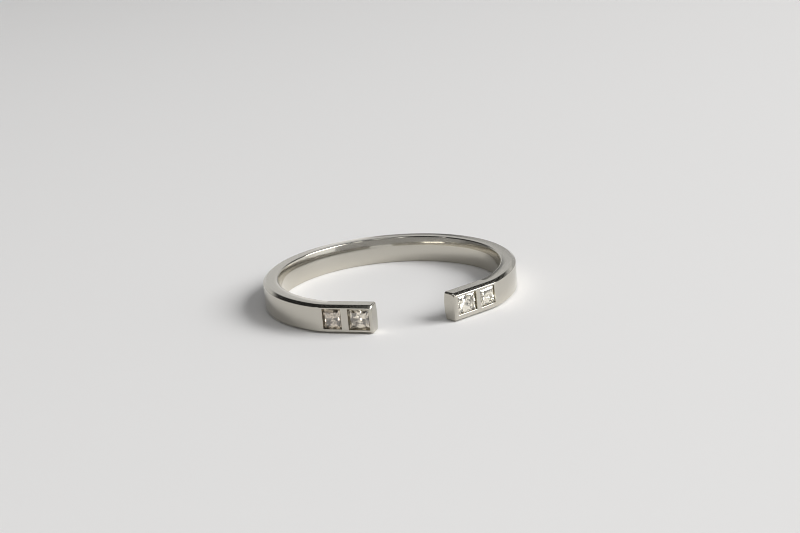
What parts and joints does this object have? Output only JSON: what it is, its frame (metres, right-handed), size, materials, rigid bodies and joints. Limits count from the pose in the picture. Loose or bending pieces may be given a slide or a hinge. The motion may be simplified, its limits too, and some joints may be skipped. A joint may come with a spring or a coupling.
{
  "type": "open cuff ring",
  "caption": "Open finger ring: a slim band of near square-edged section with a gap at the front and square stones set flush in each straight end.",
  "frame": {"origin": "middle of the ring's box, on the surface it lies on", "axes": "+Z along the finger hole, the gap between the ends faces -Y, the ends lie left and right of the gap along X"},
  "size_m": [0.0196, 0.019, 0.0022],
  "materials": {
    "white_gold": "polished white gold",
    "diamond": "cut and polished diamond"
  },
  "bodies": {
    "root": {"band": "white_gold", "stone_left_end": "diamond", "stone_left_back": "diamond", "stone_right_end": "diamond", "stone_right_back": "diamond"}
  },
  "joints": []
}
